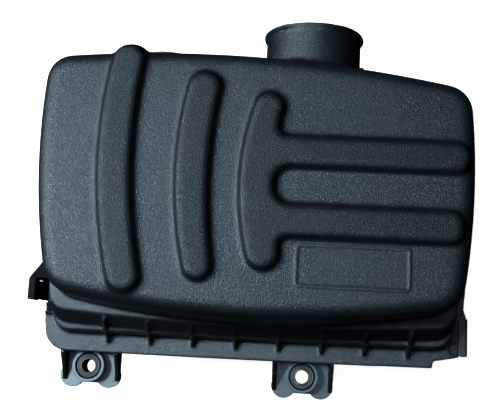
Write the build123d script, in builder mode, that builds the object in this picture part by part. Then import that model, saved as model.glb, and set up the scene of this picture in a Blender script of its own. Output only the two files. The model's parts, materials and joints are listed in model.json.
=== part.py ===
"""Air filter housing of a car engine: ribbed cover hinged on a tray, panel filter between them.

Millimetres, +Z up. Origin: middle of the housing on the parting plane between the cover flange
and the tray flange. +Y is the rear (outlet side), +X the right-hand side seen from the front.
"""
from build123d import *
import math
import os
from typing import NamedTuple

os.makedirs("parts", exist_ok=True)

# ---------------------------------------------------------------- shared dimensions
wall = 2.6                 # moulding wall
flange_t = 3.0             # each flange
flange_inset = 0.3         # tray flange edge inside the cover flange edge
z_ledge_low, z_ledge_high = 16.0, 28.0
z_panel = 83.0             # flat top panel
panel_edge_r = 10.0        # round along the panel edge

# tray levels
z_rim, z_channel, z_floor = -10.0, -7.0, -75.0

# Plan outlines. Each is (corners, bulge points, corner radii), with the corners front-left,
# front-right, rear-right, rear-left and the bulge points front, right, rear, left.
dome = ([(-129.5, -61.6), (131.0, -61.7), (134.3, 74.8), (-136.0, 86.6)],
        [(0.5, -76.1), (137.3, 7.0), (-0.4, 91.4), (-137.3, 12.0)],
        [20, 20, 18, 17])
# the dome walls at panel height
top = ([(-122.0, -62.8), (127.8, -63.6), (132.0, 72.3), (-132.6, 84.2)],
       [(0.5, -75.0), (134.8, 7.0), (-0.4, 89.0), (-134.0, 10.0)],
       [22, 20, 18, 17])
# head and foot of the sloping wall
slope_head = ([(-132.0, -71.0), (132.0, -72.0), (136.2, 77.5), (-137.6, 88.2)],
              [(0.5, -77.0), (138.8, 7.0), (-0.4, 93.0), (-138.8, 12.0)],
              [12, 14, 18, 17])
slope_foot = ([(-131.5, -80.0), (132.0, -79.5), (137.0, 78.5), (-138.6, 89.0)],
              [(0.5, -84.2), (139.8, 7.0), (-0.4, 93.8), (-139.8, 12.0)],
              [12, 14, 18, 17])
# head and foot of the lowest wall
skirt_head = ([(-131.5, -84.5), (131.8, -84.5), (137.4, 79.0), (-138.9, 89.4)],
              [(0.0, -84.6), (140.0, 7.0), (-0.4, 94.2), (-140.2, 12.0)],
              [13, 13, 18, 17])
skirt_foot = ([(-132.2, -86.2), (132.4, -86.0), (138.2, 79.8), (-139.8, 90.2)],
              [(0.0, -86.3), (140.8, 7.0), (-0.4, 95.0), (-141.0, 12.0)],
              [13, 13, 18, 17])
tub = (skirt_foot[0], skirt_foot[1], [28, 28, 32, 30])
flange = ([(-139.0, -98.6), (138.0, -97.6), (143.5, 85.0), (-145.0, 95.5)],
          [(-10.0, -98.9), (146.0, 7.0), (-0.4, 100.0), (-146.6, 12.0)],
          [16, 8, 20, 20])

# outlet spigot
spigot_x, spigot_z, spigot_end = 33.9, 45.0, 113.4
spigot_r, spigot_bore_r = 31.0, 28.2

# hinge
hinge_y, hinge_z, hinge_bar_r = 107.0, -6.0, 3.0
hinges = {"left": -96.0, "right": 58.0}       # middle of each hinge in x
hook_w, hinge_lug_t = 14.0, 5.0

# clips
clip_waist_w, clip_t = 13.0, 1.2
clip_lug_t, clip_lug_gap = 3.2, 0.4
clip_pin_z, clip_pin_r = -42.0, 2.0
clip_pin_out = 0.74        # pin axis outside the flange pad
pad_cut_w, pad_cut_extra = 20, 3              # block cutting a pad, its extra length over the head


class Clip(NamedTuple):
    name: str
    side: int              # sign of x
    pad_x: float           # distance of the cover flange pad from the middle
    tray_out: float        # how far the tray pad lies outside the cover pad
    y: float
    rest: float            # lean of the closed clip, degrees
    head_w: float

    @property
    def pin_x(self):
        return self.pad_x + clip_pin_out


left_clip = Clip("left", -1, 139.0, 0.7, -57.4, 16.7, 14.6)
right_clip = Clip("right", 1, 138.0, 2.4, -76.4, 4.2, 25.0)
clips = (left_clip, right_clip)

# front ears: name, middle x, left and right side measured from the middle
ears = [("left", -111.4, -18.4, 20.8), ("right", 36.1, -20.6, 21.2)]
ear_y = -107.8             # boss axis
ear_boss_r, ear_bore_r, sleeve_r, sleeve_bore_r = 11.1, 9.1, 5.6, 4.5

# inlet in the rear of the tray
inlet_x, inlet_z, inlet_face = -75.0, -43.0, 92.0
inlet_r, inlet_bore_r = 27.0, 24.5
inlet_plate = (68, 58, 5)                     # width, height, corner radius
gasket_t = 2.0
inlet_screws = [(inlet_x - 29, inlet_z + 22), (inlet_x + 29, inlet_z - 22)]
screw_hole_r = 2.7

# rear peg, drain and feet of the tray
peg_x, peg_z, peg_r = 60, -50, 5.0
drain_x = 10
feet = [(-90, -45), (90, -45), (-90, 50), (90, 50)]


# ---------------------------------------------------------------- helpers
def along_x(x, y, z):
    """Location that turns a cylinder's axis to X."""
    return Location((x, y, z), (0, 90, 0))


def along_y(x, y, z):
    """Location that turns a cylinder's axis to Y."""
    return Location((x, y, z), (90, 0, 0))


def xz_at(y):
    """Sketch plane facing the front; a positive extrusion runs towards -Y."""
    return Plane.XZ.offset(-y)


def circle_through(a, b, c):
    """Centre and radius of the circle through three points."""
    ax, ay, bx, by, cx, cy = *a, *b, *c
    k = 2 * (ax * (by - cy) + bx * (cy - ay) + cx * (ay - by))
    a2, b2, c2 = ax**2 + ay**2, bx**2 + by**2, cx**2 + cy**2
    x = (a2 * (by - cy) + b2 * (cy - ay) + c2 * (ay - by)) / k
    y = (a2 * (cx - bx) + b2 * (ax - cx) + c2 * (bx - ax)) / k
    return x, y, math.hypot(ax - x, ay - y)


def grown(corners, bulges, grow):
    """Corner and bulge points of a loop of arcs moved outwards by grow."""
    circles, new_bulges = [], []
    for start, bulge, end in zip(corners, bulges, corners[1:] + corners[:1]):
        x, y, radius = circle_through(start, bulge, end)
        cross = ((end[0] - start[0]) * (bulge[1] - start[1])
                 - (end[1] - start[1]) * (bulge[0] - start[0]))
        # a side that bulges outwards gains radius, a hollow side loses it
        new_radius = radius + (grow if cross < 0 else -grow)
        k = new_radius / radius
        new_bulges.append((x + (bulge[0] - x) * k, y + (bulge[1] - y) * k))
        circles.append((x, y, new_radius))

    # a new corner is the crossing of two neighbouring circles nearest to the old corner
    new_corners = []
    for corner, (x0, y0, r0), (x1, y1, r1) in zip(corners, circles[-1:] + circles[:-1], circles):
        dist = math.hypot(x1 - x0, y1 - y0)
        ux, uy = (x1 - x0) / dist, (y1 - y0) / dist
        along = (r0**2 - r1**2 + dist * dist) / (2 * dist)
        across = math.sqrt(max(r0**2 - along * along, 0))
        px, py = x0 + along * ux, y0 + along * uy
        crossings = [(px + side * across * uy, py - side * across * ux) for side in (1, -1)]
        new_corners.append(min(crossings, key=lambda p: math.dist(p, corner)))
    return new_corners, new_bulges


def outline_face(z, shape, grow=0.0):
    """Outline as a face at height z; grow moves it outwards. Empty radii leave sharp corners."""
    corners, bulges = grown(shape[0], shape[1], grow)
    with BuildSketch(Plane.XY.offset(z)) as sketch:
        with BuildLine():
            for start, bulge, end in zip(corners, bulges, corners[1:] + corners[:1]):
                ThreePointArc(start, bulge, end)
        make_face()
        for (x, y), radius in zip(corners, shape[2]):
            vertex = sketch.vertices().sort_by_distance(Vector(x, y, 0))[0]
            fillet(vertex, max(radius + grow, 1.5))
    return sketch.sketch.faces()[0]


def front_corner_cut(inset=0.0):
    """Plan of the stepped right front corner cut from a flange."""
    return [(121.5, -105), (122.6, -93.2 + inset), (150, -88.0 + inset), (150, -105)]


def save(part, name):
    part.label = name
    export_step(part, f"parts/{name}.step")


# ---------------------------------------------------------------- cover: ribs on the panel
rib_h = 6.0                # above the panel
rib_draft = 21.0
z_rib_foot, z_rib_top = z_panel - 7.0, z_panel + rib_h
rib_foot_grow = (z_rib_top - z_rib_foot) * math.tan(math.radians(rib_draft))
# height, outward growth; the last steps round the top edge
rib_steps = [(z_rib_foot, rib_foot_grow), (z_rib_top - 1.9, 0.73), (z_rib_top - 0.9, 0.1),
             (z_rib_top - 0.3, -0.6), (z_rib_top, -1.5)]
# outlines as above, but sharp-cornered
long_rib = ([(-89.6, 82), (-82.9, -57.0), (-65.6, -54.4), (-71.8, 81.5)],
            [(-94.6, 25), (-73.9, -62.1), (-75.7, 18), (-82.2, 89.5)], [])
short_rib = ([(-41.0, 67.4), (-38.3, -46.4), (-23.0, -45.2), (-23.3, 66.8)],
             [(-46.4, 12), (-30.6, -53.0), (-28.1, 12), (-32.8, 73.6)], [])
# comb: a spine with two fingers to the right
spine = ([(0.4, 56), (-0.6, -38.6), (16.6, -35.2), (14.6, 49.5)],
         [(-7.1, 8), (7.2, -44.9), (11.8, 5), (7.6, 61.9)], [])
# x, y, width, height, corner radius
fingers = [(66.0, 26.6, 126.0, 16.6, 7.2), (64.3, -16.0, 122.6, 17.4, 6.4)]
# inside corners between spine and fingers: y, direction it moves as the comb grows, radius
comb_corner_x = 14
comb_corners = [(34.6, 1, 7.0), (18.2, -1, 11.5), (-7.5, 1, 11.5), (-24.5, -1, 7.0)]


def comb_face(z, grow):
    """Spine with two fingers; the inside corners are rounded."""
    corners, bulges = grown(spine[0], spine[1], grow)
    with BuildSketch(Plane.XY.offset(z)) as sketch:
        with BuildLine():
            for start, bulge, end in zip(corners, bulges, corners[1:] + corners[:1]):
                ThreePointArc(start, bulge, end)
        make_face()
        for x, y, width, height, radius in fingers:
            with Locations((x, y)):
                RectangleRounded(width + 2 * grow, height + 2 * grow, radius + grow)
        for y, way, radius in comb_corners:
            near = Vector(comb_corner_x + grow, y + way * grow, 0)
            fillet(sketch.vertices().sort_by_distance(near)[0], radius - grow)
    return sketch.sketch.faces()[0]


def bar_sections(bar):
    return [outline_face(z, bar, grow) for z, grow in rib_steps]


def make_ribs():
    """Ribs cut to a dome that stands rib_h outside the cover's."""
    with BuildPart() as big_dome:
        loft([outline_face(z_ledge_high, dome, rib_h), outline_face(z_rib_top, top, rib_h)],
             ruled=True)
        fillet(big_dome.edges().group_by(Axis.Z)[-1], panel_edge_r + rib_h)
    with BuildPart() as ribs:
        loft(bar_sections(long_rib), ruled=True)
        loft(bar_sections(short_rib), ruled=True)
        loft([comb_face(z, grow) for z, grow in rib_steps], ruled=True)
        add(big_dome.part, mode=Mode.INTERSECT)
    return ribs.part


def make_rib_end():
    """Rear end of the long rib, running over the rear edge and fading into the rear wall."""
    with BuildPart() as rib_end:
        loft([outline_face(z_ledge_high, long_rib, 2.2),
              outline_face(z_rib_foot, long_rib, rib_foot_grow)], ruled=True)
        loft(bar_sections(long_rib), ruled=True)
        with Locations((-79, 90, 58)):
            Box(60, 32, 70, mode=Mode.INTERSECT)
    return rib_end.part


# ---------------------------------------------------------------- cover
loft_lap = 0.5             # each tier of walls starts this far below its ledge
gusset_n, gusset_x0, gusset_pitch, gusset_t = 8, -96.0, 28.8, 2.2
gusset_profile = [(-76.0, 26.6), (-79.0, 25.4), (-92.4, flange_t), (-76.0, flange_t)]   # y, z
spigot_root, spigot_bore_root = 60, 72        # y where the tube and its bore start
spigot_bead_r, spigot_bead_t = 33.0, 2.4
frame_w, frame_h, frame_r, frame_line = 68, 25.6, 2.6, 0.8


def make_cover_cavity():
    with BuildPart() as cavity:
        loft([outline_face(z_ledge_high - 3, dome, -wall),
              outline_face(z_panel - wall, top, -wall)], ruled=True)
        fillet(cavity.edges().group_by(Axis.Z)[-1], panel_edge_r - wall)
        loft([outline_face(-1.0, skirt_foot, -wall),
              outline_face(z_ledge_high - wall, slope_head, -wall)], ruled=True)
    return cavity.part


def make_cover():
    ribs, rib_end, cavity = make_ribs(), make_rib_end(), make_cover_cavity()
    with BuildPart() as cover:
        # dome, sloping wall and lowest wall
        loft([outline_face(z_ledge_high - loft_lap, dome), outline_face(z_panel, top)],
             ruled=True)
        fillet(cover.edges().group_by(Axis.Z)[-1], panel_edge_r)
        loft([outline_face(z_ledge_low - loft_lap, slope_foot),
              outline_face(z_ledge_high, slope_head)], ruled=True)
        loft([outline_face(flange_t - loft_lap, skirt_foot),
              outline_face(z_ledge_low, skirt_head)], ruled=True)
        # flange with straight clip pads, the stepped right front corner and a notch each side
        extrude(outline_face(0, flange), amount=flange_t)
        with BuildSketch(Plane.XY):
            for clip in clips:
                with Locations((clip.side * (clip.pad_x + pad_cut_w / 2), clip.y)):
                    Rectangle(pad_cut_w, clip.head_w + pad_cut_extra)
            with BuildLine():
                Polyline(*front_corner_cut(), close=True)
            make_face()
            with Locations((-137.5, -69.3)):
                Rectangle(9, 5.4)
            with Locations((136.3, -84.6)):
                Rectangle(5.0, 6.6)
        extrude(amount=flange_t, mode=Mode.SUBTRACT)
        # thin upright in front of the left notch
        with Locations((-134.4, -73.3, 4.0)):
            Box(14.6, 1.6, 4.4)
        # gussets between the sloping wall and the flange
        for i in range(gusset_n):
            with BuildSketch(Plane.YZ.offset(gusset_x0 + i * gusset_pitch - gusset_t / 2)):
                with BuildLine():
                    Polyline(*gusset_profile, close=True)
                make_face()
            extrude(amount=gusset_t)
        add(ribs)
        add(rib_end)
        # outlet spigot and its end bead
        with Locations(along_y(spigot_x, (spigot_end + spigot_root) / 2, spigot_z)):
            Cylinder(spigot_r, spigot_end - spigot_root)
        with Locations(along_y(spigot_x, spigot_end - spigot_bead_t / 2, spigot_z)):
            Cylinder(spigot_bead_r, spigot_bead_t)
        # raised frame, left blank
        with BuildSketch(Plane.XY.offset(z_panel - 0.4)):
            with Locations((62.0, -42.4)):
                RectangleRounded(frame_w, frame_h, frame_r)
                RectangleRounded(frame_w - 2 * frame_line, frame_h - 2 * frame_line,
                                 frame_r - frame_line, mode=Mode.SUBTRACT)
        extrude(amount=1.0)
        # rear hinge hooks
        for x in hinges.values():
            with BuildSketch(Plane.YZ.offset(x - hook_w / 2)):
                with Locations((92.5, flange_t / 2)):
                    Rectangle(29, flange_t)
                with Locations((105.4, 0.25)):
                    Rectangle(6.8, 5.5)
                with Locations((hinge_y, hinge_z)):
                    Circle(5.4)
            extrude(amount=hook_w)
        # hollow it out, then bore the spigot and open the hooks downwards to the front
        add(cavity, mode=Mode.SUBTRACT)
        with Locations(along_y(spigot_x, (spigot_end + spigot_bore_root) / 2 + 1, spigot_z)):
            Cylinder(spigot_bore_r, spigot_end - spigot_bore_root + 2, mode=Mode.SUBTRACT)
        for x in hinges.values():
            with Locations(along_x(x, hinge_y, hinge_z)):
                Cylinder(hinge_bar_r + 0.08, hook_w + 2, mode=Mode.SUBTRACT)
            with Locations(Location((x, hinge_y - 3.2, hinge_z - 3.2), (45, 0, 0))):
                Box(hook_w + 2, 9.0, 5.0, mode=Mode.SUBTRACT)
    return cover.part


# ---------------------------------------------------------------- outlet flow screen
screen_y, screen_ring_t = 101, 4
mesh_y, mesh_t = 102.4, 1.2
mesh_pitch, mesh_n, mesh_bar_w, mesh_bar_len = 7.0, 7, 0.9, 60


def make_screen():
    with BuildPart() as screen:
        with BuildSketch(xz_at(screen_y)):
            with Locations((spigot_x, spigot_z)):
                Circle(spigot_bore_r - 0.1)
                Circle(spigot_bore_r - 2.2, mode=Mode.SUBTRACT)
        extrude(amount=-screen_ring_t)
        with BuildSketch(xz_at(mesh_y)):
            with Locations((spigot_x, spigot_z)):
                with GridLocations(mesh_pitch, mesh_pitch, mesh_n, 1):
                    Rectangle(mesh_bar_w, mesh_bar_len)
                with GridLocations(mesh_pitch, mesh_pitch, 1, mesh_n):
                    Rectangle(mesh_bar_len, mesh_bar_w)
                Circle(spigot_bore_r - 1.0, mode=Mode.INTERSECT)
        extrude(amount=-mesh_t)
    return screen.part


# ---------------------------------------------------------------- tray
tub_inset = 11.3           # tub floor inside the foot of the lowest wall
tub_draft = 2.0            # degrees, widening upwards

# flange tongues under the clip pads (x, y)
tongues = [
    [(130, -60), (right_clip.pad_x + 2.0, -60), (right_clip.pad_x + 2.0, -89.6), (130, -91)],
    [(-130, -48), (-left_clip.pad_x - 2.0, -48), (-left_clip.pad_x - 2.0, -67), (-130, -67)],
]
# guards behind the clips (x, y)
guards = [
    [(-132, -30), (-143.5, -33.5), (-155.4, -49.7), (-132, -49.7)],
    [(132, -43), (140.2, -50.0), (144.8, -63.4), (132, -63.4)],
]
guard_h = 8

ear_top, ear_t, ear_cheek_t = -18.0, 4.5, 2.4
ear_back, ear_front = -70, -113.5
ear_boss_top, ear_boss_bottom = -10.0, -27.0
# cheek at each side of an ear (y, z)
ear_cheek = [(-72, -flange_t), (-99.5, -flange_t), (-117.5, ear_top + 0.6),
             (-117.5, ear_top - ear_t), (-72, ear_top - ear_t)]

# clip lug: distance outwards from the pin axis, z
clip_lug_profile = [(-22, -2.9), (-2, -2.9), (4.6, clip_pin_z + 3), (3, clip_pin_z - 4.4),
                    (-2, clip_pin_z - 5.3), (-22, clip_pin_z - 5.3)]
# web behind the left clip (x, z)
left_web = [(-132, -3), (-154, -3), (-153, -30), (-149, -44), (-132, -44)]
hinge_lug_root = 84        # y where the hinge lugs start
inlet_boss_root = 70       # y where the inlet boss starts


def tub_walls(z0, z1, grow):
    """Tub outline at z0 and, widened by the draft, at z1."""
    rise = (z1 - z0) * math.tan(math.radians(tub_draft))
    return [outline_face(z0, tub, grow), outline_face(z1, tub, grow + rise)]


def make_tub_cavity():
    with BuildPart() as cavity:
        loft(tub_walls(z_floor + wall, -1.0, -tub_inset - wall), ruled=True)
        fillet(cavity.edges().group_by(Axis.Z)[0], 6.0)
        extrude(outline_face(z_channel, skirt_foot, -wall), amount=10)
    return cavity.part


def make_tray():
    cavity = make_tub_cavity()
    with BuildPart() as tray:
        # tub, rim and flange
        loft(tub_walls(z_floor, -5.0, -tub_inset), ruled=True)
        fillet(tray.edges().group_by(Axis.Z)[0], 8.0)
        extrude(outline_face(z_rim, skirt_foot), amount=-z_rim)
        extrude(outline_face(-flange_t, flange, -flange_inset), amount=flange_t)
        with BuildSketch(Plane.XY.offset(-flange_t)):
            for clip in clips:
                x = clip.side * (clip.pad_x + pad_cut_w / 2 + clip.tray_out)
                with Locations((x, clip.y)):
                    Rectangle(pad_cut_w, clip.head_w + pad_cut_extra)
            with BuildLine():
                Polyline(*front_corner_cut(flange_inset), close=True)
            make_face()
        extrude(amount=flange_t, mode=Mode.SUBTRACT)
        for plates, height in ((tongues, flange_t), (guards, guard_h)):
            with BuildSketch(Plane.XY.offset(-height)):
                for plate in plates:
                    with BuildLine():
                        Polyline(*plate, close=True)
                    make_face()
            extrude(amount=height)
        # front ears
        for _, ear_x, left, right in ears:
            with BuildSketch(Plane.XY.offset(ear_top - ear_t)):
                with Locations((ear_x + (left + right) / 2, (ear_back + ear_front) / 2)):
                    Rectangle(right - left, ear_back - ear_front)
                with Locations((ear_x, -110)):
                    Rectangle(20, 18.6)
                with Locations((ear_x - 12.4, -114.2), (ear_x + 12.9, -114.0)):
                    Circle(8.6)
            extrude(amount=ear_t)
            for x in (ear_x + left, ear_x + right - ear_cheek_t):
                with BuildSketch(Plane.YZ.offset(x)):
                    with BuildLine():
                        Polyline(*ear_cheek, close=True)
                    make_face()
                extrude(amount=ear_cheek_t)
            with Locations((ear_x, ear_y, (ear_boss_top + ear_boss_bottom) / 2)):
                Cylinder(ear_boss_r, ear_boss_top - ear_boss_bottom)
            with Locations((ear_x, -92, -24.5)):
                Box(3.0, 34, 5.0)
            with Locations((ear_x, ear_y, -20)):
                Cylinder(ear_bore_r, 30, mode=Mode.SUBTRACT)
        # clip lugs
        for clip in clips:
            for way in (-1, 1):
                y = clip.y + way * (clip_waist_w / 2 + clip_lug_gap + clip_lug_t / 2)
                with BuildSketch(xz_at(y + clip_lug_t / 2)):
                    with BuildLine():
                        Polyline(*[(clip.side * (clip.pin_x + out), z)
                                   for out, z in clip_lug_profile], close=True)
                    make_face()
                    with Locations((clip.side * clip.pin_x, clip_pin_z)):
                        Circle(5.5)
                extrude(amount=clip_lug_t)
        # deep web behind the left clip, clear of the swing of its head
        with BuildSketch(xz_at(-47.3)):
            with BuildLine():
                Polyline(*left_web, close=True)
            make_face()
        extrude(amount=2.5)
        # hinge lugs
        for hinge_x in hinges.values():
            for way in (-1, 1):
                x = hinge_x + way * (hook_w / 2 + 0.8 + hinge_lug_t / 2)
                with BuildSketch(Plane.YZ.offset(x - hinge_lug_t / 2)):
                    with Locations(((hinge_y + hinge_lug_root) / 2, hinge_z - 0.1)):
                        Rectangle(hinge_y - hinge_lug_root, 10.8)
                    with Locations((hinge_y, hinge_z)):
                        Circle(5.5)
                extrude(amount=hinge_lug_t)
        # inlet boss, rear peg with its collar, feet
        with Locations((inlet_x, (inlet_face + inlet_boss_root) / 2, inlet_z)):
            Box(70, inlet_face - inlet_boss_root, 60)
        with Locations(along_y(peg_x, 84, peg_z)):
            Cylinder(peg_r, 32)
        with Locations(along_y(peg_x, 80, peg_z)):
            Cylinder(9.0, 16)
        with Locations(*[(x, y, z_floor + 1.5) for x, y in feet]):
            Cylinder(10, 5)
        add(cavity, mode=Mode.SUBTRACT)
        # bores: inlet, its screws, clip pins, hinge bars, drain
        with Locations(along_y(inlet_x, 85, inlet_z)):
            Cylinder(inlet_bore_r, 60, mode=Mode.SUBTRACT)
        for x, z in inlet_screws:
            with Locations(along_y(x, inlet_face - 6, z)):
                Cylinder(2.1, 12.4, mode=Mode.SUBTRACT)
        for clip in clips:
            with Locations(along_y(clip.side * clip.pin_x, clip.y, clip_pin_z)):
                Cylinder(clip_pin_r + 0.02, clip_waist_w + 12, mode=Mode.SUBTRACT)
        for x in hinges.values():
            with Locations(along_x(x, hinge_y, hinge_z)):
                Cylinder(hinge_bar_r + 0.02, hook_w + 30, mode=Mode.SUBTRACT)
        with Locations((drain_x, 0, z_floor)):
            Cylinder(2.6, 20, mode=Mode.SUBTRACT)
    return tray.part


# ---------------------------------------------------------------- filter element
pack_half_w, pack_front, pack_rear, pack_bottom, pack_top = 111.0, -69.0, 60.0, -50.0, -9.0
pack_len = pack_rear - pack_front
seal_t = 6.2
pleat_n, media_t = 32, 9.0                    # media_t is measured along z
bead_n = 4


def make_seal():
    with BuildPart() as seal:
        extrude(outline_face(z_channel, skirt_foot, -wall - 0.3), amount=seal_t)
        with BuildSketch(Plane.XY.offset(z_channel)):
            with Locations((0, (pack_front + pack_rear) / 2)):
                Rectangle(2 * pack_half_w + 4.4, pack_len + 4.4)
        extrude(amount=seal_t, mode=Mode.SUBTRACT)
    return seal.part


def make_media():
    """Zigzag sheet with its folds along Y."""
    half_pitch = pack_half_w / pleat_n
    upper = [(-pack_half_w + i * half_pitch, pack_top if i % 2 else pack_bottom + media_t)
             for i in range(2 * pleat_n + 1)]
    lower = [(x, z - media_t) for x, z in reversed(upper)]
    with BuildPart() as media:
        with BuildSketch(xz_at(pack_front)):
            with BuildLine():
                Polyline(*upper, *lower, close=True)
            make_face()
        extrude(amount=-pack_len)
    return media.part


def make_end_bands():
    with BuildPart() as bands:
        for y in (pack_front - 1.2, pack_rear + 1.2):
            with Locations((0, y, (pack_bottom + pack_top) / 2)):
                Box(2 * pack_half_w + 3.6, 1.6, pack_top - pack_bottom)
    return bands.part


def make_glue_beads():
    with BuildPart() as beads:
        for i in range(bead_n):
            with Locations((0, pack_front + (i + 1) * pack_len / (bead_n + 1), pack_top + 0.9)):
                Box(2 * pack_half_w - 4, 3.0, 1.6)
        fillet(beads.edges().filter_by(Axis.X), 0.7)
    return beads.part


# ---------------------------------------------------------------- clips and their pins
# section of a clip: u points outwards, v up the arm, both from the pin axis
clip_tip_u, clip_arm_v = -3.14, 46.35
clip_curl_in = clip_pin_r + 0.06
clip_curl_out = clip_curl_in + clip_t
clip_bend_r = 2.6


def make_clip(clip):
    lean = math.radians(clip.rest)
    side_plane = Plane(
        origin=(clip.side * clip.pin_x, clip.y + clip.side * clip.head_w / 2, clip_pin_z),
        x_dir=(clip.side * math.cos(lean), 0, -math.sin(lean)),
        z_dir=(0, -clip.side, 0))
    arm_under = clip_arm_v - clip_t
    with BuildPart() as body:
        with BuildSketch(side_plane) as section:
            with BuildLine():
                Polyline((clip_curl_out, 0), (clip_curl_out, clip_arm_v),
                         (clip_tip_u, clip_arm_v), (clip_tip_u, arm_under),
                         (clip_curl_in, arm_under), (clip_curl_in, 0), close=True)
            make_face()
            for u, v, radius in ((clip_curl_out, clip_arm_v, clip_bend_r),
                                 (clip_curl_in, arm_under, clip_bend_r - clip_t)):
                fillet(section.vertices().sort_by_distance(Vector(u, v, 0))[0], radius)
            Circle(clip_curl_out)
            Circle(clip_curl_in, mode=Mode.SUBTRACT)
            # gap in the curl
            with Locations((-1.2, 4.0)):
                Rectangle(3.4, 6.0, mode=Mode.SUBTRACT)
        extrude(amount=clip.head_w)
        # narrower below the head
        cut = (clip.head_w - clip_waist_w) / 2
        for depth in (0, clip.head_w - cut):
            with BuildSketch(side_plane.offset(depth)):
                with Locations((0, 14.0)):
                    Rectangle(14, 36)
            extrude(amount=cut, mode=Mode.SUBTRACT)
        # window in the arm of the right clip
        if clip.name == "right":
            window_w = 6.0
            with BuildSketch(side_plane.offset((clip.head_w - window_w) / 2)):
                with Locations((2.6, 20)):
                    Rectangle(3, 12)
            extrude(amount=window_w, mode=Mode.SUBTRACT)
    return body.part


def make_clip_pin(clip):
    with BuildPart() as pin:
        with Locations(along_y(clip.side * clip.pin_x, clip.y, clip_pin_z)):
            Cylinder(clip_pin_r, clip_waist_w + 2 * clip_lug_t + 2.4)
        chamfer(pin.edges(), 0.4)
    return pin.part


# ---------------------------------------------------------------- hinge bars, grommets, sleeves
grommet_in, grommet_out = sleeve_r + 0.1, ear_bore_r - 0.1
# radius, z
grommet_profile = [(grommet_in, -28.4), (10.6, -28.4), (10.6, -27.1), (grommet_out, -27.1),
                   (grommet_out, -14.5), (8.2, -13.4), (8.2, -11.4), (7.7, -10.9),
                   (grommet_in, -10.9)]
sleeve_top, sleeve_bottom = -10.4, -29.2


def make_hinge_bar(x):
    with BuildPart() as bar:
        with Locations(along_x(x, hinge_y, hinge_z)):
            Cylinder(hinge_bar_r, hook_w + 2 * hinge_lug_t + 3)
        chamfer(bar.edges(), 0.5)
    return bar.part


def make_grommet(x):
    with BuildPart() as grommet:
        with BuildSketch(xz_at(ear_y)):
            with BuildLine():
                Polyline(*grommet_profile, close=True)
            make_face()
        revolve(axis=Axis((0, ear_y, 0), (0, 0, 1)))
    return Pos(x, 0, 0) * grommet.part


def make_sleeve(x):
    with BuildPart() as sleeve:
        with Locations((x, ear_y, (sleeve_top + sleeve_bottom) / 2)):
            Cylinder(sleeve_r, sleeve_top - sleeve_bottom)
            Cylinder(sleeve_bore_r, 24, mode=Mode.SUBTRACT)
        chamfer(sleeve.edges().filter_by(GeomType.CIRCLE).group_by(Axis.Z)[-1], 0.4)
    return sleeve.part


# ---------------------------------------------------------------- intake stub, gasket and screws
def make_gasket():
    with BuildPart() as gasket:
        with BuildSketch(xz_at(inlet_face)):
            with Locations((inlet_x, inlet_z)):
                RectangleRounded(*inlet_plate)
                Circle(inlet_bore_r + 0.6, mode=Mode.SUBTRACT)
            with Locations(*inlet_screws):
                Circle(screw_hole_r, mode=Mode.SUBTRACT)
        extrude(amount=-gasket_t)
    return gasket.part


def make_snorkel():
    tube_middle = along_y(inlet_x, inlet_face + 17, inlet_z)
    with BuildPart() as snorkel:
        with BuildSketch(xz_at(inlet_face + gasket_t)):
            with Locations((inlet_x, inlet_z)):
                RectangleRounded(*inlet_plate)
        extrude(amount=-3.5)
        # tube and its end lip
        with Locations(tube_middle):
            Cylinder(inlet_r, 28)
        with Locations(along_y(inlet_x, inlet_face + 29.8, inlet_z)):
            Cylinder(inlet_r + 1.6, 2.6)
        fillet(snorkel.edges().group_by(Axis.Y)[-1], 0.9)
        with Locations(tube_middle):
            Cylinder(inlet_bore_r, 40, mode=Mode.SUBTRACT)
        for x, z in inlet_screws:
            with Locations(along_y(x, inlet_face + 4, z)):
                Cylinder(screw_hole_r, 12, mode=Mode.SUBTRACT)
    return snorkel.part


def make_screws():
    """Shank, head and socket of each screw."""
    with BuildPart() as screws:
        for x, z in inlet_screws:
            with Locations(along_y(x, inlet_face - 2.2, z)):
                Cylinder(2.05, 15.4)
            with Locations(along_y(x, inlet_face + 7.0, z)):
                Cylinder(4.6, 3.0)
            with Locations(along_y(x, inlet_face + 8.0, z)):
                Cylinder(1.6, 2.0, mode=Mode.SUBTRACT)
    return screws.part


# ---------------------------------------------------------------- pieces under and behind the tray
bush_bore_r = peg_r + 0.1
# radius, y from the bush's front face
bush_profile = [(bush_bore_r, 0), (12.0, 0), (12.0, 3.0), (9.0, 3.0), (9.0, 7.0), (12.0, 7.0),
                (12.0, 10.0), (bush_bore_r, 10.0)]
# z of the middle, radius, height
drain_discs = [(-73.6, 2.4, 7.2), (-76.2, 9.0, 2.2), (-70.8, 3.6, 2.4)]


def make_rear_bush():
    with BuildPart() as bush:
        with BuildSketch(Plane.XY):
            with BuildLine():
                Polyline(*bush_profile, close=True)
            make_face()
        revolve(axis=Axis.Y)
    return Pos(peg_x, 88.3, peg_z) * bush.part


def make_drain():
    with BuildPart() as drain:
        for z, radius, height in drain_discs:
            with Locations((drain_x, 0, z)):
                Cylinder(radius, height)
    return drain.part


def make_foot_pads():
    with BuildPart() as pads:
        with Locations(*[(x, y, z_floor - 3.0) for x, y in feet]):
            Cylinder(9, 4)
        fillet(pads.edges().filter_by(GeomType.CIRCLE).group_by(Axis.Z)[0], 1.2)
    return pads.part


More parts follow.
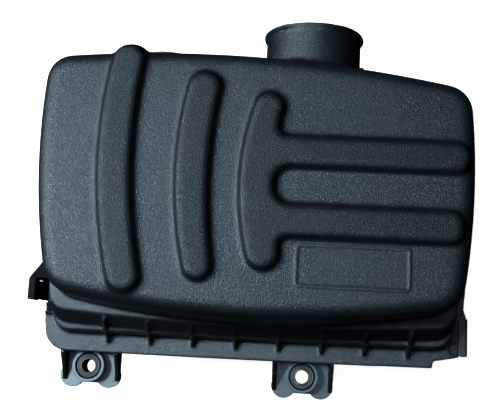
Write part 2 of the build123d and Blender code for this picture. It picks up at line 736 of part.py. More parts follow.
# ---------------------------------------------------------------- build every piece
save(make_cover(), "upper_cover")
save(make_screen(), "outlet_screen")
save(make_tray(), "lower_tray")
save(make_seal(), "filter_seal")
save(make_media(), "filter_media")
save(make_end_bands(), "filter_end_bands")
save(make_glue_beads(), "filter_glue_beads")
for clip in clips:
    save(make_clip(clip), "clip_" + clip.name)
    save(make_clip_pin(clip), "clip_pin_" + clip.name)
for name, x in hinges.items():
    save(make_hinge_bar(x), "hinge_bar_" + name)
for name, x, _, _ in ears:
    save(make_grommet(x), "mount_grommet_" + name)
    save(make_sleeve(x), "mount_sleeve_" + name)
save(make_gasket(), "inlet_gasket")
save(make_snorkel(), "inlet_snorkel")
save(make_screws(), "inlet_screws")
save(make_rear_bush(), "rear_bush")
save(make_drain(), "drain_valve")
save(make_foot_pads(), "foot_pads")
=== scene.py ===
"""An air filter box: a lower tray on four feet, an upper cover, clips, an inlet and a pleated filter.

X runs left to right, -Y is the front edge with its two mounting ears, +Z is up and the feet
stand at z = -80 mm. Materials, stage and camera are in metres. The rebuilt soft pieces are
laid out in millimetres.
"""
import bpy
import bmesh
import json
import math
import numpy as np
from mathutils import Matrix, Vector


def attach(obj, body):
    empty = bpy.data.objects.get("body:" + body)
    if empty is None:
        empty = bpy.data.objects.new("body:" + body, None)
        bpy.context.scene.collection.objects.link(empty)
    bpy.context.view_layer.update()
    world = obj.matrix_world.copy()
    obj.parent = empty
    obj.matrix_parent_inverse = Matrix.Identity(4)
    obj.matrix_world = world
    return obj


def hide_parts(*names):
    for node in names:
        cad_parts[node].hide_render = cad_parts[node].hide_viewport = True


MM = 0.001

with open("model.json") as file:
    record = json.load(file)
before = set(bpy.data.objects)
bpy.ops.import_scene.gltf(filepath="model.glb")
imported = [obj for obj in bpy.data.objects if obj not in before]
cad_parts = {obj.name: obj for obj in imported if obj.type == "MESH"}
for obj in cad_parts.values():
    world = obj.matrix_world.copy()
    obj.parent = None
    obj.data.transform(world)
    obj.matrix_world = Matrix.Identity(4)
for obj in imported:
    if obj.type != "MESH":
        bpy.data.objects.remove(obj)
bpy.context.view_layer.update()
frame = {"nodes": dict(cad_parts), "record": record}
nodes = frame["nodes"]


# ------------------------------------------------------------------ material helpers
class Mat:
    """A node material round one Principled shader, textured in object coordinates."""

    def __init__(self, name):
        self.material = bpy.data.materials.new(name)
        self.material.use_nodes = True
        self.tree = self.material.node_tree
        self.tree.nodes.clear()
        output = self.node("ShaderNodeOutputMaterial")
        self.shader = self.node("ShaderNodeBsdfPrincipled")
        self.tree.links.new(self.shader.outputs[0], output.inputs[0])
        self.coords = self.node("ShaderNodeTexCoord").outputs["Object"]

    def node(self, kind, **props):
        node = self.tree.nodes.new(kind)
        for key, value in props.items():
            setattr(node, key, value)
        return node

    def put(self, node, key, value):
        """Link a socket to the input, or set a plain value on it."""
        if isinstance(value, bpy.types.NodeSocket):
            self.tree.links.new(value, node.inputs[key])
        else:
            node.inputs[key].default_value = value

    def put_color(self, node, key, value):
        """Like put, for an RGB tuple or a socket."""
        self.put(node, key, value if isinstance(value, bpy.types.NodeSocket) else (*value, 1))

    def noise(self, scale, detail, roughness, stretch=None):
        noise = self.node("ShaderNodeTexNoise")
        self.put(noise, "Scale", scale)
        self.put(noise, "Detail", detail)
        self.put(noise, "Roughness", roughness)
        coords = self.coords
        if stretch:
            mapping = self.node("ShaderNodeMapping")
            self.put(mapping, "Vector", coords)
            self.put(mapping, "Scale", stretch)
            coords = mapping.outputs[0]
        self.put(noise, "Vector", coords)
        return noise.outputs["Fac"]

    def cells(self, scale):
        """Distance to the nearest cell edge."""
        voronoi = self.node("ShaderNodeTexVoronoi", feature="DISTANCE_TO_EDGE")
        self.put(voronoi, "Scale", scale)
        self.put(voronoi, "Vector", self.coords)
        return voronoi.outputs["Distance"]

    def ramp(self, factor, start, end, greys=(0.0, 1.0)):
        """Go from the first grey to the second while the factor goes from start to end."""
        ramp = self.node("ShaderNodeValToRGB")
        for stop, position, grey in zip(ramp.color_ramp.elements, (start, end), greys):
            stop.position = position
            stop.color = (grey, grey, grey, 1)
        self.put(ramp, "Fac", factor)
        return ramp.outputs["Color"]

    def math(self, operation, a, b):
        node = self.node("ShaderNodeMath", operation=operation)
        self.put(node, 0, a)
        self.put(node, 1, b)
        return node.outputs[0]

    def add(self, a, b):
        return self.math("ADD", a, b)

    def times(self, a, b):
        return self.math("MULTIPLY", a, b)

    def mix(self, factor, color_a, color_b):
        mix = self.node("ShaderNodeMix", data_type="RGBA")
        self.put(mix, 0, factor)
        self.put_color(mix, 6, color_a)
        self.put_color(mix, 7, color_b)
        return mix.outputs[2]

    def relief(self, layers, bevel=0.0):
        """Stack bumps given as (height, strength, depth); bevel rounds the shaded edges."""
        normal = None
        if bevel:
            rounding = self.node("ShaderNodeBevel", samples=4)
            self.put(rounding, "Radius", bevel)
            normal = rounding.outputs[0]
        for height, strength, depth in layers:
            bump = self.node("ShaderNodeBump")
            self.put(bump, "Strength", strength)
            self.put(bump, "Distance", depth)
            self.put(bump, "Height", height)
            if normal is not None:
                self.put(bump, "Normal", normal)
            normal = bump.outputs[0]
        self.put(self.shader, "Normal", normal)

    def surface(self, color, rough, metallic=0.0, spec=0.5):
        self.put_color(self.shader, "Base Color", color)
        self.put(self.shader, "Roughness", rough)
        self.put(self.shader, "Metallic", metallic)
        self.put(self.shader, "Specular IOR Level", spec)

    def zone(self, low, high, color, rough, spec):
        """Give the surface another look inside the box from low to high."""
        place = self.node("ShaderNodeSeparateXYZ")
        self.put(place, 0, self.coords)
        inside = None
        for axis in range(3):
            for operation, limit in (("GREATER_THAN", low[axis]), ("LESS_THAN", high[axis])):
                test = self.math(operation, place.outputs[axis], limit)
                inside = test if inside is None else self.times(inside, test)
        color_input = self.shader.inputs["Base Color"]
        current = color_input.links[0].from_socket
        self.put_color(self.shader, "Base Color", self.mix(inside, current, color))
        for key, value in (("Roughness", rough), ("Specular IOR Level", spec)):
            socket = self.shader.inputs[key]
            current = socket.links[0].from_socket if socket.links else socket.default_value
            outside = self.math("SUBTRACT", 1.0, inside)
            blend = self.add(self.times(inside, value), self.times(outside, current))
            self.put(self.shader, key, blend)


def shade(color, factor):
    return tuple(c * factor for c in color)


# ------------------------------------------------------------------ materials
def plastic(name, color, rough, grain, dust=0.25, pebble=0.0):
    """Moulded plastic: leather grain, worn sheen, a thin film of dust on faces that look up."""
    mat = Mat(name)
    cells = mat.cells(scale=1050)
    fine = mat.noise(scale=2600, detail=4, roughness=0.65)
    broad = mat.noise(scale=9, detail=5, roughness=0.6)
    mid = mat.noise(scale=70, detail=6, roughness=0.7)
    coarse = mat.noise(scale=430, detail=3, roughness=0.55)

    blotches = mat.ramp(mid, start=0.35, end=0.75)
    normal = mat.node("ShaderNodeSeparateXYZ")
    mat.put(normal, 0, mat.node("ShaderNodeNewGeometry").outputs["Normal"])
    facing_up = mat.ramp(normal.outputs[2], start=0.6, end=1.0)
    film = mat.times(mat.times(facing_up, blotches), dust)

    tint = mat.mix(broad, shade(color, 0.82), shade(color, 1.22))
    # painted shade in the grain's valleys: the colour is darker there
    valley_shade = mat.ramp(cells, start=0.0, end=0.3, greys=(1.0, 0.0))
    tint = mat.mix(mat.times(valley_shade, 0.45), tint, shade(color, 0.4))
    dusted = mat.mix(film, tint, (0.018, 0.024, 0.028))
    mat.surface(dusted, rough=mat.add(mat.times(mid, 0.16), rough - 0.08))
    mat.relief([
        (mat.ramp(cells, start=0.0, end=0.25), grain, 0.00016),
        (coarse, pebble, 0.0005),
        (fine, grain * 0.6, 0.00007),
        (mid, 0.12, 0.0004),
    ], bevel=0.0009)
    return mat


def cover_plastic():
    mat = plastic("cover_plastic", (0.0042, 0.0060, 0.0072), rough=0.42, grain=0.6, pebble=0.25)
    # smoother tops of the ribs
    mat.zone((-0.2, -0.1, 0.0884), (0.2, 0.12, 0.1),
             color=(0.0034, 0.0048, 0.0058), rough=0.43, spec=0.33)
    # pebble grain on the two ledges and the flange, its pale specks a painted sheen where these faces
    # catch the light
    pebbles = mat.ramp(mat.noise(scale=620, detail=3, roughness=0.6), start=0.40, end=0.62)
    pebble_grain_and_sheen = mat.mix(pebbles, (0.0045, 0.0062, 0.0074), (0.017, 0.021, 0.023))
    for bottom, top in ((0.0262, 0.0286), (0.0146, 0.0164), (0.0018, 0.0036)):
        mat.zone((-0.2, -0.11, bottom), (0.2, 0.12, top), color=pebble_grain_and_sheen, rough=0.42, spec=0.6)
    return mat.material


def tray_plastic():
    mat = plastic("tray_plastic", (0.004, 0.0052, 0.006), rough=0.36, grain=0.22,
                  dust=0.10, pebble=0.10)
    # painted shade round the left clip: the tray there is coloured near-black and dull
    mat.zone((-0.17, -0.0724, -0.06), (-0.1325, -0.028, 0.0012),
             color=(0.0015, 0.0015, 0.002), rough=0.75, spec=0.1)
    # ears: glossy, with a lighter colour painted on as sheen where the lobes face the light
    mat.zone((-0.14, -0.130, -0.03), (0.07, -0.0988, -0.0085),
             color=(0.030, 0.034, 0.036), rough=0.42, spec=1.0)
    # painted shade on the ribs at the sides of each ear: coloured near-black and dull
    for rib_x in (-0.1286, -0.0918, 0.0167, 0.0561):
        mat.zone((rib_x - 0.0020, -0.1178, -0.03), (rib_x + 0.0020, -0.0985, -0.0088),
                 color=(0.003, 0.003, 0.0035), rough=0.7, spec=0.15)
    return mat.material


def metal(name, color, rough, stretch, wear=0.5, metallic=1.0, spec=0.5):
    """Brushed metal with worn blotches and dark spots; stretch sets the brushing direction."""
    mat = Mat(name)
    brushing = mat.noise(scale=420, detail=5, roughness=0.6, stretch=stretch)
    blotches = mat.noise(scale=160, detail=5, roughness=0.65)
    spots = mat.ramp(mat.noise(scale=900, detail=3, roughness=0.5), start=0.62, end=0.72)
    tint = mat.mix(mat.times(blotches, wear), color, shade(color, 0.55))
    tint = mat.mix(mat.times(spots, 0.35), tint, shade(color, 0.35))
    mat.surface(tint, rough=mat.add(mat.times(brushing, 0.22), rough - 0.1),
                metallic=metallic, spec=spec)
    mat.relief([(brushing, 0.22, 0.00008), (blotches, 0.15, 0.0002)], bevel=0.0003)
    return mat.material


def rubber(name, color, rough):
    """Rubber, foam or glue with paler patches."""
    mat = Mat(name)
    fine = mat.noise(scale=1800, detail=4, roughness=0.6)
    broad = mat.noise(scale=90, detail=5, roughness=0.6)
    pale = tuple(c * 1.9 + 0.004 for c in color)
    mat.surface(mat.mix(broad, color, pale),
                rough=mat.add(mat.times(broad, 0.2), rough - 0.1), spec=0.4)
    mat.relief([(fine, 0.4, 0.00008), (broad, 0.2, 0.0003)], bevel=0.0006)
    return mat.material


def paper(name, color):
    """Fibrous paper with patches of dirt."""
    mat = Mat(name)
    fibres = mat.noise(scale=1500, detail=6, roughness=0.75, stretch=(1, 0.25, 1))
    dirt = mat.ramp(mat.noise(scale=30, detail=5, roughness=0.7), start=0.45, end=0.8)
    clean = mat.mix(fibres, color, shade(color, 0.82))
    mat.surface(mat.mix(mat.times(dirt, 0.5), clean, shade(color, 0.5)), rough=0.9, spec=0.2)
    mat.relief([(fibres, 0.5, 0.00012)])
    return mat.material


slots = {
    "cover_plastic": cover_plastic(),
    "tray_plastic": tray_plastic(),
    "clip_steel": metal("clip_steel", (0.085, 0.09, 0.088), rough=0.55, stretch=(1, 18, 1),
                        wear=0.6, metallic=0.6),
    # painted shade: the left clip's steel is coloured near-black, where the same clip on the right is
    # grey
    "clip_black": metal("clip_black", (0.0022, 0.0026, 0.003), rough=0.72, stretch=(1, 18, 1),
                        wear=0.35, metallic=0.0, spec=0.1),
    "pin_steel": metal("pin_steel", (0.55, 0.55, 0.54), rough=0.3, stretch=(1, 20, 1)),
    "sleeve_steel": metal("sleeve_steel", (0.20, 0.15, 0.08), rough=0.45,
                          stretch=(1, 1, 0.1), wear=0.8),
    "bush_rubber": rubber("bush_rubber", (0.030, 0.034, 0.036), rough=0.5),
    "filter_paper": paper("filter_paper", (0.72, 0.60, 0.36)),
    "seal_foam": rubber("seal_foam", (0.55, 0.16, 0.03), rough=0.7),
    "band_card": paper("band_card", (0.62, 0.52, 0.30)),
    "glue": rubber("glue", (0.6, 0.58, 0.5), rough=0.4),
    "screen_mesh": plastic("screen_mesh", (0.03, 0.03, 0.032), rough=0.5, grain=0.2).material,
    "screw_steel": metal("screw_steel", (0.6, 0.6, 0.58), rough=0.3, stretch=(1, 1, 20)),
}
slot_of = {part["node"]: part["material_slot"] for part in frame["record"]["subparts"]}
for name, ob in nodes.items():
    ob.data.materials.clear()
    ob.data.materials.append(slots[slot_of[name]])


# ------------------------------------------------------------------ modifiers on the CAD pieces
def add_remesh(ob, voxel):
    remesh = ob.modifiers.new("remesh", "REMESH")
    remesh.mode = "VOXEL"
    remesh.voxel_size = voxel
    remesh.use_smooth_shade = True


def round_top(ob, voxel, blur_steps, height_range, weight_range, crisp_box):
    """Remesh evenly, then blur positions by a weight that changes with height.

    crisp_box holds (axis, middle, half width) for X and Y; nothing inside it is blurred.
    """
    add_remesh(ob, voxel)
    tree = bpy.data.node_groups.new(ob.name + "_round", "GeometryNodeTree")
    for direction in ("INPUT", "OUTPUT"):
        tree.interface.new_socket("Geometry", in_out=direction,
                                  socket_type="NodeSocketGeometry")
    link = tree.links.new

    def math_node(operation):
        node = tree.nodes.new("ShaderNodeMath")
        node.operation = operation
        return node

    group_in = tree.nodes.new("NodeGroupInput")
    group_out = tree.nodes.new("NodeGroupOutput")
    position = tree.nodes.new("GeometryNodeInputPosition")
    blur = tree.nodes.new("GeometryNodeBlurAttribute")
    blur.data_type = "FLOAT_VECTOR"
    blur.inputs["Iterations"].default_value = blur_steps
    split = tree.nodes.new("ShaderNodeSeparateXYZ")
    link(position.outputs[0], split.inputs[0])

    by_height = tree.nodes.new("ShaderNodeMapRange")
    by_height.clamp = True
    limits = (*height_range, *weight_range)
    for key, value in zip(("From Min", "From Max", "To Min", "To Max"), limits):
        by_height.inputs[key].default_value = value
    link(split.outputs[2], by_height.inputs["Value"])

    outside_box = math_node("MAXIMUM")
    for axis, middle, half in crisp_box:
        offset = math_node("SUBTRACT")
        link(split.outputs[axis], offset.inputs[0])
        offset.inputs[1].default_value = middle
        distance = math_node("ABSOLUTE")
        link(offset.outputs[0], distance.inputs[0])
        beyond = math_node("GREATER_THAN")
        link(distance.outputs[0], beyond.inputs[0])
        beyond.inputs[1].default_value = half
        link(beyond.outputs[0], outside_box.inputs[axis])

    weight = math_node("MULTIPLY")
    link(by_height.outputs[0], weight.inputs[0])
    link(outside_box.outputs[0], weight.inputs[1])
    link(weight.outputs[0], blur.inputs["Weight"])
    link(position.outputs[0], [s for s in blur.inputs if s.type == "VECTOR"][0])
    move = tree.nodes.new("GeometryNodeSetPosition")
    link(group_in.outputs[0], move.inputs["Geometry"])
    link([s for s in blur.outputs if s.type == "VECTOR"][0], move.inputs["Position"])
    link(move.outputs[0], group_out.inputs[0])
    ob.modifiers.new("round", "NODES").node_group = tree


# the blank raised frame on the cover stays crisp
round_top(nodes["upper_cover"], voxel=0.00075, blur_steps=16,
          height_range=(0.072, 0.0755), weight_range=(0.08, 0.85),
          crisp_box=((0, 0.062, 0.0352), (1, -0.0424, 0.0140)))

bevel_widths = dict.fromkeys(("lower_tray", "inlet_snorkel"), 0.0006)
bevel_widths.update(dict.fromkeys(
    ("clip_left", "clip_right", "clip_pin_left", "clip_pin_right", "inlet_screws",
     "mount_sleeve_left", "mount_sleeve_right"), 0.0002))
for name, ob in nodes.items():
    if name in bevel_widths:
        bevel = ob.modifiers.new("bevel", "BEVEL")
        bevel.width = bevel_widths[name]
        bevel.segments = 2
        bevel.limit_method = "ANGLE"
        bevel.angle_limit = math.radians(35)


# ------------------------------------------------------------------ mesh helpers
def add_tray_part(mesh, slot):
    """Put the mesh in the scene as a piece that moves with the tray."""
    mesh.materials.append(slots[slot])
    ob = bpy.data.objects.new(mesh.name, mesh)
    bpy.context.collection.objects.link(ob)
    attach(ob, "tray")
    return ob


def mesh_part(name, shape, slot, replaced):
    """A smooth piece from (vertices, faces) that takes the place of a CAD piece."""
    verts, faces = shape
    mesh = bpy.data.meshes.new(name)
    mesh.from_pydata(verts, [], faces)
    mesh.validate()
    mesh.polygons.foreach_set("use_smooth", [True] * len(mesh.polygons))
    ob = add_tray_part(mesh, slot)
    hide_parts(replaced)
    return ob


def lathe(profile, centre, axis="Z", steps=96):
    """Closed (radius, height) profile turned about an axis through centre."""
    verts, faces = [], []
    count = len(profile)
    for i in range(steps):
        angle = 2 * math.pi * i / steps
        for radius, height in profile:
            x, y = radius * math.cos(angle), radius * math.sin(angle)
            point = (x, y, height) if axis == "Z" else (x, height, y)
            verts.append(tuple((c + p) * MM for c, p in zip(centre, point)))
    for i in range(steps):
        here, there = i * count, (i + 1) % steps * count
        for j in range(count):
            k = (j + 1) % count
            quad = (here + j, there + j, there + k, here + k)
            faces.append(quad if axis == "Z" else quad[::-1])
    return verts, faces


def rounded(points, radius, steps=4):
    """The closed profile with its corners rounded."""
    curve = []
    count = len(points)
    for i in range(count):
        before, corner, after = (np.array(points[(i + d) % count], float) for d in (-1, 0, 1))
        back, ahead = before - corner, after - corner
        back_len, ahead_len = np.linalg.norm(back), np.linalg.norm(ahead)
        cut = min(radius, back_len * 0.45, ahead_len * 0.45)
        start, end = corner + back / back_len * cut, corner + ahead / ahead_len * cut
        for step in range(steps + 1):
            u = step / steps
            curve.append(tuple((1 - u) ** 2 * start + 2 * u * (1 - u) * corner + u * u * end))
    return curve


def tube_faces(rings, sides, closed):
    """Quads along a row of rings; closed joins the last ring to the first."""
    faces = []
    for i in range(rings if closed else rings - 1):
        here, there = i * sides, (i + 1) % rings * sides
        for j in range(sides):
            k = (j + 1) % sides
            faces.append((here + j, here + k, there + k, there + j))
    return faces


def join(shapes):
    verts, faces = [], []
    for part_verts, part_faces in shapes:
        offset = len(verts)
        verts += part_verts
        faces += [tuple(i + offset for i in face) for face in part_faces]
    return verts, faces


# ------------------------------------------------------------------ turned rubber pieces
# Profiles are closed (radius, height along the axis) outlines in millimetres.
EAR_BUSH_X = {"left": -111.4, "right": 36.1}
EAR_BUSH_Y = -107.8
EAR_BUSH = [
    (5.7, -28.4), (10.6, -28.4), (10.6, -27.1), (9.0, -27.1), (9.0, -14.5), (8.2, -13.4),
    (8.2, -11.4), (7.7, -10.9), (7.1, -10.9), (6.9, -11.3), (6.6, -11.3), (6.4, -10.9),
    (5.7, -10.9),
]
REAR_BUSH_CENTRE = (60, 88.3, -50)
REAR_BUSH = [
    (5.1, 0), (11.6, 0), (12.0, 0.6), (12.0, 2.4), (11.6, 3.0), (9.2, 3.0), (9.0, 3.6),
    (9.4, 4.2), (9.0, 4.7), (9.4, 5.3), (9.0, 5.9), (9.2, 7.0), (11.6, 7.0), (12.0, 7.6),
    (12.0, 9.4), (11.6, 10.0), (5.1, 10.0),
]
DRAIN_CENTRE = (10, 0, 0)
DRAIN_UMBRELLA = [
    (0.05, -77.2), (3.0, -77.2), (3.3, -76.9), (6.2, -76.9), (6.6, -77.25), (7.4, -77.25),
    (7.8, -76.9), (8.6, -76.9), (9.0, -76.3), (9.0, -75.4), (8.6, -75.15), (2.4, -75.15),
    (2.4, -72.1), (3.6, -71.9), (3.2, -70.4), (1.8, -69.7), (0.05, -69.6),
]
FOOT_XS = (-90, 90)
FOOT_YS = (-45, 50)
FOOT_PAD = [
    (0.05, -79.6), (1.6, -79.6), (2.0, -80.0), (2.9, -80.0), (3.3, -79.6), (4.6, -79.6),
    (5.0, -80.0), (6.0, -80.0), (6.4, -79.6), (7.0, -79.6), (7.5, -80.0), (8.1, -79.9),
    (8.8, -79.2), (9.0, -78.4), (9.0, -76.4), (8.6, -76.05), (0.05, -76.05),
]


def turned_pieces():
    # front ear bushes: a rolled lip, a groove and the lower collar
    for side, x in EAR_BUSH_X.items():
        bush = lathe(rounded(EAR_BUSH, radius=0.35), (x, EAR_BUSH_Y, 0))
        mesh_part("bush_" + side, bush, "bush_rubber", "mount_grommet_" + side)
    # rear bush: two lips with fine ribs between them
    bush = lathe(rounded(REAR_BUSH, radius=0.3), REAR_BUSH_CENTRE, axis="Y")
    mesh_part("rear_bush_soft", bush, "bush_rubber", "rear_bush")
    # drain valve: an umbrella with a moulded ring, and its stem
    umbrella = lathe(rounded(DRAIN_UMBRELLA, radius=0.25), DRAIN_CENTRE, steps=72)
    mesh_part("drain_umbrella", umbrella, "bush_rubber", "drain_valve")
    # foot pads with rings on the tread
    profile = rounded(FOOT_PAD, radius=0.2, steps=2)
    pads = [lathe(profile, (x, y, 0), steps=48) for y in FOOT_YS for x in FOOT_XS]
    mesh_part("tread_pads", join(pads), "bush_rubber", "foot_pads")


turned_pieces()

# ------------------------------------------------------------------ filter element (mm)
PACK_HALF_X = 111.0
PACK_FRONT, PACK_BACK = -69.0, 60.0
PACK_BOTTOM, PACK_TOP = -50.0, -9.0
PLEATS = 32


def pleated_paper():
    """Rounded folds along Y, slightly uneven, with pressed dimple rows."""
    pleat_steps, rows = ((14, 40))
    waves = 6
    sway = np.random.default_rng(7).normal(0, 0.22, (PLEATS * 2 + 2, waves))
    verts, faces = [], []
    columns = PLEATS * pleat_steps + 1
    for j in range(rows + 1):
        u = j / rows
        y = PACK_FRONT + 0.2 + u * (PACK_BACK - PACK_FRONT - 0.4)
        for i in range(columns):
            t = i / pleat_steps
            fold = 1 - abs((t % 1) * 2 - 1)
            soft_fold = 0.5 - 0.5 * math.cos(math.pi * fold)
            height = 0.72 * fold + 0.28 * soft_fold
            flank = math.sin(math.pi * fold)  # 0 at the creases, 1 midway between them
            wall = sway[int(t * 2) % (PLEATS * 2)]
            bend = sum(wall[q] * math.sin((q + 1) * math.pi * u) for q in range(waves))
            bend *= min(u, 1 - u, 0.25) * 4
            x = -PACK_HALF_X + 0.4 + (2 * PACK_HALF_X - 0.8) * i / (columns - 1)
            x += bend * 0.8 * flank
            x += 0.25 * math.sin(u * math.pi * 26) * flank  # dimples
            z = PACK_BOTTOM + 1.0 + height * (PACK_TOP - PACK_BOTTOM - 1.6)
            verts.append((x * MM, y * MM, z * MM))
    for j in range(rows):
        for i in range(columns - 1):
            a = j * columns + i
            faces.append((a, a + 1, a + columns + 1, a + columns))
    ob = mesh_part("pleated_paper", (verts, faces), "filter_paper", "filter_media")
    solidify = ob.modifiers.new("thick", "SOLIDIFY")
    solidify.thickness = 0.0007
    solidify.offset = 0


def glue_strings():
    """Hot-melt strings across the pleats that dip between the folds."""
    count, sides, steps = 4, 12, PLEATS * 6
    strings = []
    for string in range(count):
        middle_y = PACK_FRONT + (string + 1) * (PACK_BACK - PACK_FRONT) / (count + 1)
        verts = []
        for i in range(steps + 1):
            t = i / steps
            x = -PACK_HALF_X + 2 + t * (2 * PACK_HALF_X - 4)
            dip = 0.252 * (0.5 + 0.5 * math.cos(2 * math.pi * t * PLEATS))
            swell = 0.95 + 0.18 * math.sin(t * 97 + string) * math.cos(t * 41)
            swell *= min(1, 0.35 + 18 * min(t, 1 - t))  # thinner towards the ends
            drift = 0.25 * math.sin(t * 60 + string * 2)
            for j in range(sides):
                angle = 2 * math.pi * j / sides
                y = middle_y + 1.35 * swell * math.cos(angle) + drift
                z = PACK_TOP + 0.85 - dip + 0.75 * swell * math.sin(angle)
                verts.append((x * MM, y * MM, z * MM))
        faces = tube_faces(steps + 1, sides, closed=False)
        faces.append(tuple(range(sides)))
        faces.append(tuple(steps * sides + j for j in reversed(range(sides))))
        strings.append((verts, faces))
    mesh_part("glue_strings", join(strings), "glue", "filter_glue_beads")


def card_bands():
    """Slightly bowed boards across the front and back of the pleats, thinner at the rim."""
    gap, half_thickness, rim_factor = 1.2, 0.72, 0.45
    half_length = PACK_HALF_X + 1.7
    nx, nz = 60, 10

    def index(side, i, k):
        return (side * (nx + 1) + i) * (nz + 1) + k

    bands = []
    for middle_y in (PACK_FRONT - gap, PACK_BACK + gap):
        verts, faces = [], []
        for side in (-1, 1):
            for i in range(nx + 1):
                for k in range(nz + 1):
                    x = -half_length + i / nx * 2 * half_length
                    z = PACK_BOTTOM + 0.2 + k / nz * (PACK_TOP - PACK_BOTTOM - 0.4)
                    on_rim = i in (0, nx) or k in (0, nz)
                    depth = half_thickness * (rim_factor if on_rim else 1.0)
                    bow = 0.06 * math.sin(x * 0.21) * math.sin(z * 0.3)
                    verts.append((x * MM, (middle_y + side * depth + bow) * MM, z * MM))
        for i in range(nx):
            for k in range(nz):
                faces.append((index(0, i, k), index(0, i + 1, k),
                              index(0, i + 1, k + 1), index(0, i, k + 1)))
                faces.append((index(1, i, k), index(1, i, k + 1),
                              index(1, i + 1, k + 1), index(1, i + 1, k)))
        for i in range(nx):
            faces.append((index(0, i, 0), index(1, i, 0),
                          index(1, i + 1, 0), index(0, i + 1, 0)))
            faces.append((index(0, i, nz), index(0, i + 1, nz),
                          index(1, i + 1, nz), index(1, i, nz)))
        for k in range(nz):
            faces.append((index(0, 0, k), index(0, 0, k + 1),
                          index(1, 0, k + 1), index(1, 0, k)))
            faces.append((index(0, nx, k), index(1, nx, k),
                          index(1, nx, k + 1), index(0, nx, k + 1)))
        bands.append((verts, faces))
    mesh_part("card_bands", join(bands), "band_card", "filter_end_bands")


pleated_paper()
glue_strings()
card_bands()


# ------------------------------------------------------------------ seal and gasket (metres)
def soft_copy(node, name, slot, voxel, smoothing, extra=((), ())):
    """The CAD piece as an evenly meshed body with rounded edges, plus extra (verts, faces)."""
    source = nodes[node]
    mesh = source.data.copy()
    mesh.name = name
    mesh.transform(source.matrix_world)
    bm = bmesh.new()
    bm.from_mesh(mesh)
    extra_verts, extra_faces = extra
    added = [bm.verts.new(point) for point in extra_verts]
    for face in extra_faces:
        bm.faces.new([added[i] for i in face])
    bmesh.ops.recalc_face_normals(bm, faces=bm.faces)
    bm.to_mesh(mesh)
    bm.free()
    mesh.materials.clear()
    ob = add_tray_part(mesh, slot)
    add_remesh(ob, voxel * (1))
    smooth = ob.modifiers.new("smooth", "SMOOTH")
    smooth.iterations = smoothing
    smooth.factor = 0.5
    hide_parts(node)


def seal_outline(points):
    """An evenly stepped, softened XY loop through the outer points of the seal's top face."""
    ordered = points[np.argsort(np.arctan2(points[:, 1], points[:, 0]))]
    corners = np.array([p[:2] for p in ordered
                        if abs(p[0]) > 0.1145 or p[1] > 0.0635 or p[1] < -0.0725])
    spacing = 0.004
    loop = []
    for i in range(len(corners)):
        p, q = corners[i], corners[(i + 1) % len(corners)]
        steps = max(1, int(np.linalg.norm(q - p) / spacing))
        for t in range(steps):
            loop.append(p + (q - p) * t / steps)
    loop = np.array(loop)
    for _ in range(3):
        loop = (np.roll(loop, 1, 0) + loop * 2 + np.roll(loop, -1, 0)) / 4
    return loop


def seal_lips():
    """Two raised lips that run round the top of the seal."""
    seal = nodes["filter_seal"]
    points = np.array([seal.matrix_world @ v.co for v in seal.data.vertices])
    top = points[:, 2].max()
    loop = seal_outline(points[points[:, 2] > top - 1e-4])
    tangents = np.roll(loop, -1, 0) - np.roll(loop, 1, 0)
    tangents /= np.linalg.norm(tangents, axis=1)[:, None] + 1e-12
    inward = np.stack([-tangents[:, 1], tangents[:, 0]], 1)
    if np.sum(inward * loop) > 0:
        inward = -inward
    sides = 10
    lips = []
    for inset, radius in ((0.0052, 0.00085), (0.0092, 0.0007)):
        verts = []
        for p, across in zip(loop + inward * inset, inward):
            for j in range(sides):
                angle = 2 * math.pi * j / sides
                verts.append((p[0] + across[0] * radius * math.cos(angle),
                              p[1] + across[1] * radius * math.cos(angle),
                              top - 0.0003 + radius * math.sin(angle)))
        lips.append((verts, tube_faces(len(loop), sides, closed=True)))
    return join(lips)


soft_copy("filter_seal", "seal_lipped", "seal_foam", voxel=0.0007, smoothing=4,
          extra=seal_lips())
soft_copy("inlet_gasket", "gasket_soft", "bush_rubber", voxel=0.0004, smoothing=3)


# ------------------------------------------------------------------ stage
def add_floor():
    """A glowing pale floor just under the feet, unseen by reflections and bounced light."""
    half, z = 3.0, -0.081
    mesh = bpy.data.meshes.new("floor")
    mesh.from_pydata([(-half, -half, z), (half, -half, z), (half, half, z), (-half, half, z)],
                     [], [(0, 1, 2, 3)])
    floor = bpy.data.objects.new("floor", mesh)
    bpy.context.collection.objects.link(floor)
    mat = Mat("floor")
    patches = mat.noise(scale=3, detail=3, roughness=0.5)
    mat.surface(mat.mix(patches, (0.86, 0.86, 0.86), (0.9, 0.9, 0.9)), rough=0.8, spec=0.1)
    mat.put(mat.shader, "Emission Color", (1, 1, 1, 1))
    mat.put(mat.shader, "Emission Strength", 0.93)
    mesh.materials.append(mat.material)
    floor.visible_glossy = False
    floor.visible_diffuse = False


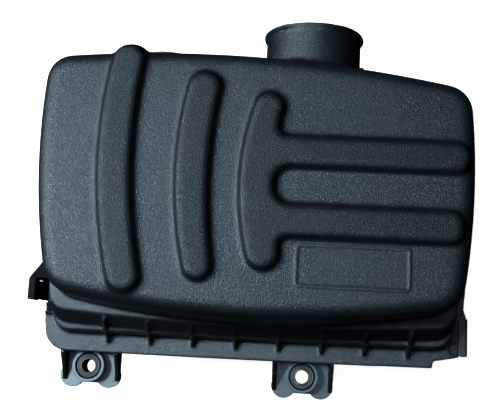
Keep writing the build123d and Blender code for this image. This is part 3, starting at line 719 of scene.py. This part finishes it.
def add_sky():
    """A soft overhead glow, dark towards the horizon."""
    world = bpy.data.worlds.new("world")
    bpy.context.scene.world = world
    world.use_nodes = True
    tree = world.node_tree
    background = tree.nodes["Background"]
    coords = tree.nodes.new("ShaderNodeTexCoord")
    split = tree.nodes.new("ShaderNodeSeparateXYZ")
    ramp = tree.nodes.new("ShaderNodeValToRGB")
    tree.links.new(coords.outputs["Generated"], split.inputs[0])
    tree.links.new(split.outputs[2], ramp.inputs[0])
    horizon, zenith = ramp.color_ramp.elements
    horizon.position = 0.15
    horizon.color = (0.03, 0.035, 0.04, 1)
    zenith.position = 0.95
    zenith.color = (0.75, 0.86, 0.95, 1)
    tree.links.new(ramp.outputs[0], background.inputs[0])
    background.inputs["Strength"].default_value = 0.05


def add_light(name, location, target, width, power, color):
    """A square area light aimed at target."""
    light = bpy.data.lights.new(name, "AREA")
    light.shape = "RECTANGLE"
    light.size = light.size_y = width
    light.energy = power
    light.color = color
    ob = bpy.data.objects.new(name, light)
    bpy.context.collection.objects.link(ob)
    ob.location = location
    aim = Vector(target) - Vector(location)
    ob.rotation_euler = aim.to_track_quat("-Z", "Y").to_euler()


def add_camera():
    """Camera nearly straight above the front edge."""
    location = (0.0265, -0.107, 0.625)
    roll = math.radians(2.55)
    # world down in camera axes: X right, Y up, Z backwards
    down = Vector((0.04157549, -0.18107221, -1)).normalized()

    # world axes in camera axes; X is rolled, then set square to down
    right, up = math.cos(roll), -math.sin(roll)
    back = -(down.x * right + down.y * up) / down.z
    world_x = Vector((right, up, back)).normalized()
    world_z = -down
    world_y = world_z.cross(world_x)

    camera = bpy.data.cameras.new("cam")
    camera.sensor_fit = "HORIZONTAL"
    camera.sensor_width = 36
    camera.lens = 65.808
    camera.clip_start = 0.01
    ob = bpy.data.objects.new("cam", camera)
    bpy.context.collection.objects.link(ob)
    rows = [(*axis, place) for axis, place in zip((world_x, world_y, world_z), location)]
    ob.matrix_world = Matrix((*rows, (0, 0, 0, 1)))
    bpy.context.scene.camera = ob


add_floor()
add_sky()
add_light("key", location=(-0.66, 0.04, 1.10), target=(0, 0, 0.03), width=0.24, power=19,
          color=(0.66, 0.93, 1.10))
add_light("top", location=(0.06, 0.02, 1.5), target=(0, 0, 0), width=0.5, power=2.6,
          color=(0.66, 0.92, 1.12))
add_light("rim", location=(-1.0, 0.10, 0.72), target=(0, 0, 0.05), width=0.16, power=11,
          color=(0.78, 0.95, 1.05))
add_camera()
bpy.context.scene.view_settings.view_transform = "Standard"
